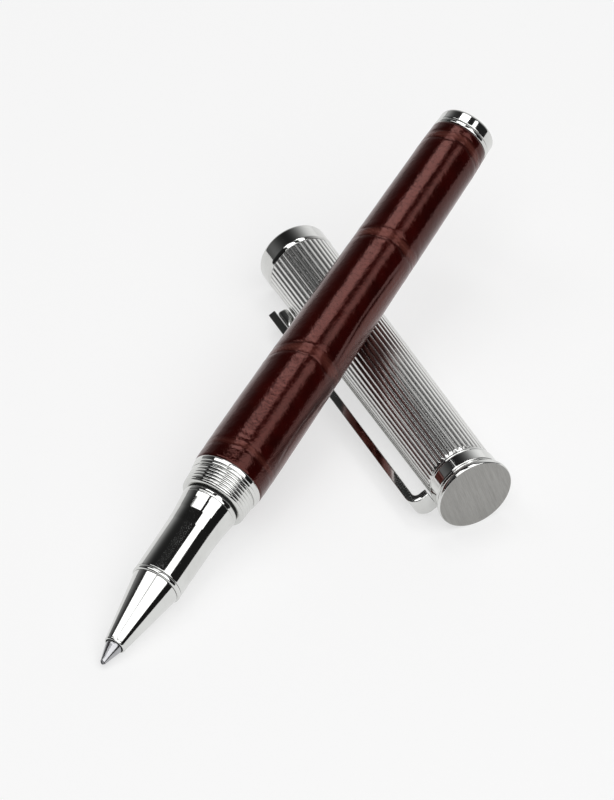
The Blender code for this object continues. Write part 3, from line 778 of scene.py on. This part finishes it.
def close_tube(tube):
    """Adds the inner wall: both rims are extruded inwards and bridged."""
    for end in (TUBE_START, TUBE_END):
        pick_points(tube, lambda place, z=end * MM: abs(place.z - z) < TOUCH)
        bpy.ops.mesh.extrude_edges_move()
        inner = (tube_radius(end) - TUBE_WALL) / tube_radius(end)
        bpy.ops.transform.resize(value=(inner, inner, 1.0), center_override=(0, 0, end * MM))
    low, high = TUBE_START * MM, TUBE_END * MM
    pick_points(tube, lambda place: min(abs(place.z - low), abs(place.z - high)) < TOUCH
                and math.hypot(place.x, place.y) < (tube_radius(place.z / MM) - SKIN) * MM)
    bpy.ops.mesh.bridge_edge_loops()
    bpy.ops.mesh.select_all(action="SELECT")
    bpy.ops.mesh.normals_make_consistent(inside=False)


def slope_ends(tube):
    """Holds the ridges under a cone at both ends, and stores how deep in a valley each point is."""
    valleys = tube.data.attributes.new("valley", "FLOAT", "POINT")
    for point, stored in zip(tube.data.vertices, valleys.data):
        along = point.co.z / MM
        radius = math.hypot(point.co.x, point.co.y) / MM
        top = tube_radius(along)
        if radius < top - SKIN:
            continue
        stored.value = (top - radius) / RIDGE_HEIGHT
        from_end = min(TUBE_END - along, (along - TUBE_START) * LIP_STEEPER)
        if from_end < END_SLOPE:
            held = top - RIDGE_HEIGHT * (1.0 - from_end / END_SLOPE) * END_CUT
            if radius > held:
                point.co.x *= held / radius
                point.co.y *= held / radius


dress(fluted_tube(), CAP, "cap", FLUTED, "cap_tube")

# %% [markdown]
# ## The cap's top
# A round bead, a smooth band, a second fine bead, and the wide disc that closes the cap. Every edge is
# rounded, because on chrome an edge shows as a bright line.

# %% Beads, neck and disc
CLIP_BEAD = [(62.4, 1.6), (62.4, 5.4), (63.22, 5.4), (63.22, 5.84, 0.04), (63.34, 6.06, 0.08),
             (63.68, 6.1, 0.1), (63.8, 5.94, 0.05), (63.8, 1.6)]
NECK = [(63.85, 1.6), (63.85, 5.95), (63.93, 6.2, 0.06), (64.1, 6.24, 0.04), (66.3, 6.24, 0.06),
        (66.42, 6.1, 0.04), (66.42, 1.6)]
GROOVE_BEAD = [(66.46, 1.6), (66.46, 6.06), (66.52, 6.26, 0.05), (66.68, 6.34, 0.06), (66.86, 6.28, 0.05),
               (66.93, 6.14, 0.03), (66.93, 1.6)]
DISC = [(68.05, 0.0), (68.05, 5.92), (68.5, 5.92), (68.5, 6.74, 0.06), (68.38, 6.86, 0.08),
        (68.05, 6.9, 0.12), (67.6, 6.84, 0.2), (67.15, 6.5, 0.15), (66.97, 6.2, 0.06), (66.97, 1.6),
        (67.6, 1.6), (67.6, 0.0)]
turned("clip_bead", CLIP_BEAD, CAP, "cap", CHROME_CAP, "chrome", "clip_ring")
turned("neck_polished", NECK, CAP, "cap", CHROME_CAP, "chrome", "cap_neck_band")
turned("groove_bead", GROOVE_BEAD, CAP, "cap", CHROME_CAP, "chrome", "cap_groove_ring")
disc = turned("closing_disc", DISC, CAP, "finial", CHROME_CAP, "chrome", "finial_disc", closed=False)

# %% [markdown]
# ## Brushed face
# The flat face was drawn over an abrasive belt in one direction, so it has long straight hairlines. They
# vary in brightness and roughness, and spread the highlight across themselves. Noise that is stretched
# along the brushing gives them at every width at once. The rim of the disc beside the face is brushed too.

# %% Brushed steel
BRUSH_TURN = math.radians(18.0)


def brushed():
    finish = Finish("brushed_steel", Metallic=1.0, Anisotropic=0.55)
    place = CAP @ Matrix.Rotation(BRUSH_TURN, 4, "Z")
    fine = finish.noise(finish.coordinates(place, (0.35, 9.0, 1.0)), 1.6, 4.0, 0.75)
    broad = finish.noise(finish.coordinates(place, (0.12, 2.2, 1.0)), 1.0, 3.0, 0.6)
    worn = finish.noise(finish.coordinates(place), 0.3, 3.0, 0.5)
    streak = fine * 0.65 + broad * 0.35
    return finish.paint(
        Base_Color=finish.mix(streak.between(0.3, 0.7), (0.25, 0.246, 0.235), (0.40, 0.395, 0.38)),
        Roughness=streak * 0.22 + worn * 0.08 + 0.22,
        Normal=finish.bump(streak, 0.28, 0.012 * MM),
    )


BRUSHED = brushed()
FACE = [(68.1, 0.0), (68.1, 5.915), (68.5, 5.915), (68.5, 0.0)]
turned("brushed_face", FACE, CAP, "finial", BRUSHED, "brushed_face", "finial_face_plate", closed=False)


def brush_rim(piece):
    """Gives the disc's flat front the brushed finish."""
    piece.data.materials.append(BRUSHED)
    outward = CAP.to_3x3() @ Vector((0.0, 0.0, 1.0))
    count = 0
    for face in piece.data.polygons:
        if face.normal.dot(outward) > 0.95:
            face.material_index = 1
            count += 1
    print("brushed faces on the disc:", count)


brush_rim(disc)

# %% [markdown]
# ## The clip
# A flat strip of plated spring steel that comes out at the bead, bends down and runs back along the tube. It
# starts as a small block at its free end. The block's end face is pushed along the bar, spun round the bend
# and pushed up to the bead, as the strip itself is bent. A bevel then breaks its edges.

# %% The clip
CLIP_DROP = math.radians(28.17)      # how far below level it points
CLIP_OUT = 9.85                      # from the cap's axis to the outer face
CLIP_THICK = 1.4
CLIP_WIDE = 4.2
CLIP_END = 9.6
CLIP_TOP = 63.8
CLIP_BEND = 1.0                      # inner radius of the bend
CLIP_BEND_STEPS = 12
CLIP_ROOT = 6.2                      # just clear of the bead, so that the clip can flex
CLIP_BLOCK = 1.0                     # length of the block it starts as
across = CAP.to_3x3().inverted() @ Vector((0.0, -math.cos(CLIP_DROP), -math.sin(CLIP_DROP)))
CLIP_PLACE = CAP @ Matrix.Rotation(math.atan2(across.y, across.x), 4, "Z")


def pick_faces(piece, wanted):
    bpy.ops.mesh.select_mode(type="FACE")
    bpy.ops.mesh.select_all(action="DESELECT")
    bpy.ops.object.mode_set(mode="OBJECT")
    for face in piece.data.polygons:
        face.select = wanted(face)
    bpy.ops.object.mode_set(mode="EDIT")


def add_block(name, low, high):
    """A block between two corners in millimetres, in edit mode."""
    bpy.ops.object.select_all(action="DESELECT")
    bpy.ops.mesh.primitive_cube_add(size=1.0)
    block = bpy.context.object
    block.name = name
    size = Vector(high) - Vector(low)
    centre = (Vector(high) + Vector(low)) / 2 * MM
    bpy.ops.object.mode_set(mode="EDIT")
    bpy.ops.transform.resize(value=size * MM, center_override=(0, 0, 0))
    bpy.ops.transform.translate(value=centre)
    return block


def push(x=0.0, z=0.0):
    """In edit mode, extrudes the chosen face by so many millimetres."""
    bpy.ops.mesh.extrude_region_move(TRANSFORM_OT_translate={"value": (x * MM, 0, z * MM)})


def round_edges(piece, width, segments, limit="NONE"):
    choose(piece)
    rounding = piece.modifiers.new("edges", "BEVEL")
    rounding.width = width * MM
    rounding.segments = segments
    rounding.limit_method = limit
    rounding.angle_limit = math.radians(40.0)
    bpy.ops.object.modifier_apply(modifier=rounding.name)


def spring_clip():
    inner = CLIP_OUT - CLIP_THICK
    half = CLIP_WIDE / 2
    clip = add_block("spring_clip", (inner, -half, CLIP_END), (CLIP_OUT, half, CLIP_END + CLIP_BLOCK))
    bend_start = CLIP_TOP - CLIP_THICK - CLIP_BEND
    pick_faces(clip, lambda face: face.normal.z > 0.9)
    push(z=bend_start - CLIP_END - CLIP_BLOCK)
    centre = Vector((inner - CLIP_BEND, 0.0, bend_start)) * MM
    bpy.ops.mesh.spin(steps=CLIP_BEND_STEPS, angle=math.pi / 2, center=centre, axis=(0, 1, 0))
    push(x=CLIP_ROOT - inner + CLIP_BEND)
    bpy.ops.mesh.select_all(action="SELECT")
    bpy.ops.mesh.remove_doubles(threshold=TOUCH)
    bpy.ops.mesh.normals_make_consistent(inside=False)
    bpy.ops.object.mode_set(mode="OBJECT")
    round_edges(clip, 0.16, 3, limit="ANGLE")
    return clip


dress(spring_clip(), CLIP_PLACE, "clip", CHROME_CAP, "clip")

# %% [markdown]
# Under its free end the clip carries a boss that slides over the cloth of a pocket. It is a wedge: long and
# sloping on the side where cloth comes in, steep at the end, and rounded where it touches the tube.

# %% The boss under the clip
BOSS_FOOT = 6.52                     # from the cap's axis to where it touches the tube
BOSS_HALF = 1.6
BOSS_LENGTH = 6.2
BOSS_LONG_SLOPE = 3.6
BOSS_FOOT_SHARE = 0.62               # how wide the foot is beside the base


def clip_boss():
    inner = CLIP_OUT - CLIP_THICK - 0.05
    far_end = CLIP_END + BOSS_LENGTH
    boss = add_block("clip_boss", (BOSS_FOOT, -BOSS_HALF, CLIP_END), (inner, BOSS_HALF, far_end))
    middle_out, middle_along = (BOSS_FOOT + inner) / 2 * MM, (CLIP_END + far_end) / 2 * MM
    pick_points(boss, lambda place: place.x < middle_out and place.z > middle_along)
    bpy.ops.transform.translate(value=(0, 0, -BOSS_LONG_SLOPE * MM))
    pick_points(boss, lambda place: place.x < middle_out)
    bpy.ops.transform.resize(value=(1.0, BOSS_FOOT_SHARE, 1.0), center_override=(0, 0, 0))
    bpy.ops.object.mode_set(mode="OBJECT")
    round_edges(boss, 0.7, 6)
    return boss


dress(clip_boss(), CLIP_PLACE, "clip", CHROME_CAP, "clip_pad")

# %% [markdown]
# ## Finishes of the hidden pieces
# The tube under the leather, the plugs, the screw, the spring and the refill are seen only when the pen is
# taken apart. They keep the model's shape and get finishes of their own.

# %% Brass, plastic and steel inside
def brass(name, place):
    finish = Finish(name, Metallic=1.0)
    rings = finish.noise(finish.coordinates(place, (0.5, 0.5, 8.0)), 1.0, 3.0, 0.6)
    tarnish = finish.noise(finish.coordinates(place), 0.4, 4.0, 0.6)
    return finish.paint(
        Base_Color=finish.mix(tarnish.between(0.35, 0.7), (0.74, 0.56, 0.27), (0.47, 0.33, 0.14)),
        Roughness=rings * 0.15 + 0.2,
        Normal=finish.bump(rings, 0.15, 0.008 * MM),
    )


def plastic(name, place):
    finish = Finish(name, Metallic=0.0)
    grain = finish.noise(finish.coordinates(place), 4.0, 4.0, 0.6)
    return finish.paint(
        Base_Color=finish.mix(grain, (0.012, 0.012, 0.013), (0.025, 0.025, 0.026)),
        Roughness=grain * 0.15 + 0.35,
        Normal=finish.bump(grain, 0.15, 0.01 * MM),
    )


HIDDEN = {
    brass("brass_pen", PEN): ["barrel_tube", "section_thread_stub", "barrel_end_plug"],
    brass("brass_cap", CAP): ["cap_top_plug"],
    plastic("black_plastic_pen", PEN): ["refill_ink_holder", "refill_rear_plug"],
    plastic("black_plastic_cap", CAP): ["cap_inner_sleeve"],
    STEEL: ["refill_tube", "refill_spring"],
    bare_steel("screw_steel", CAP, (0.6, 0.6, 0.6), (0.45, 0.45, 0.45), 0.2): ["finial_screw"],
}
for material, names in HIDDEN.items():
    for name in names:
        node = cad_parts[name]
        node.data.materials.clear()
        node.data.materials.append(material)
    print(material.name, "on", names)

# %% [markdown]
# ## Table and light
# Chrome shows its surroundings, so the light is planned by what it should mirror: a white table to the
# horizon, a dark room above it, and three soft panels overhead. The largest lies to the right and towards
# the camera. A narrower one reaches over its left corner, and across a dark gap a small, brighter one lies
# behind that. The table glows a little of its own, as a white table lit from all round would, so that
# shadows stay pale.

# %% Table
TABLE_COLOUR = (0.4, 0.4, 0.4)
TABLE_GLOW = 0.58
TABLE_SIZE = 40.0


def table():
    bpy.ops.object.select_all(action="DESELECT")
    bpy.ops.mesh.primitive_plane_add(size=TABLE_SIZE)
    top = bpy.context.object
    top.name = "table"
    finish = Finish("white_table", Metallic=0.0, Roughness=0.85, Emission_Strength=TABLE_GLOW)
    finish.paint(Base_Color=TABLE_COLOUR, Emission_Color=(1.0, 1.0, 1.0))
    finish.shader.inputs["Specular IOR Level"].default_value = 0.0
    top.data.materials.append(finish.material)


table()

# %% Panels
PANEL_HEIGHT = 1.5
RIGHT = Vector((0.451, 0.8925, 0.0))       # level, to the camera's right
AWAY = Vector((-0.8925, 0.451, 0.0))       # level, away from the camera


def panel(name, right, away, width, depth, edge, radiance, height=PANEL_HEIGHT):
    """A soft panel facing straight down. Its place and size are those at a height of one metre."""
    light = bpy.data.lights.new(name, "AREA")
    light.shape = "RECTANGLE"
    light.size = width * height
    light.size_y = depth * height
    light.energy = math.pi * light.size * light.size_y * radiance
    lamp = bpy.data.objects.new(name, light)
    bpy.context.scene.collection.objects.link(lamp)
    lamp.location = (RIGHT * right + AWAY * away + Vector((0.0, 0.0, 1.0))) * height
    side = RIGHT * edge[0] + AWAY * edge[1]
    lamp.rotation_euler = (0.0, 0.0, math.atan2(side.y, side.x))
    print(name, "at", [round(c, 2) for c in lamp.location], "watts", round(light.energy, 1))


panel("right_panel", right=0.589, away=-0.974, width=1.7, depth=1.9, edge=(0.9, 0.436), radiance=2.0)
panel("left_panel", right=-0.477, away=0.114, width=1.04, depth=0.45, edge=(0.8, -0.6), radiance=2.0,
      height=PANEL_HEIGHT * 1.01)
panel("rear_panel", right=0.086, away=0.423, width=0.57, depth=0.3, edge=(0.8, -0.6), radiance=3.5)

# %% [markdown]
# The room isn't quite black. Pale haze stands low at the back left, stronger and wider at the back right,
# and very weakly at the left. Each patch is a direction, a focus and a strength.

# %% Dark room
ROOM = 0.012                         # how bright the room is away from the haze
BACKDROP = 0.9                       # what the camera alone sees behind the table
HAZE = [(-0.5, 0.86, 0.0, 13.0, 0.4), (0.45, 0.88, 0.15, 6.0, 1.05), (-0.92, 0.29, 0.26, 16.0, 0.12)]


def dark_room():
    """Lights the world by direction: HAZE lists right, away, rise, focus and strength."""
    world = bpy.data.worlds.new("dark_room")
    bpy.context.scene.world = world
    world.use_nodes = True
    tree = world.node_tree
    place = tree.nodes.new("ShaderNodeTexCoord")
    haze = ROOM
    for right, away, rise, focus, strength in HAZE:
        facing = tree.nodes.new("ShaderNodeVectorMath")
        facing.operation = "DOT_PRODUCT"
        tree.links.new(place.outputs["Generated"], facing.inputs[0])
        aim = right * RIGHT + away * AWAY + Vector((0.0, 0.0, rise))
        facing.inputs[1].default_value = aim.normalized()
        haze = Value(tree, facing.outputs["Value"]).maths("MAXIMUM", 0.0).power(focus) * strength + haze
    rays = tree.nodes.new("ShaderNodeLightPath")
    seen = Value(tree, rays.outputs["Is Camera Ray"])
    strength = seen * BACKDROP + (1.0 - seen) * haze
    plug(tree, tree.nodes["Background"].inputs["Strength"], strength)
    tree.nodes["Background"].inputs["Color"].default_value = (1.0, 1.0, 1.0, 1.0)


dark_room()
bpy.context.scene.view_settings.view_transform = "Standard"
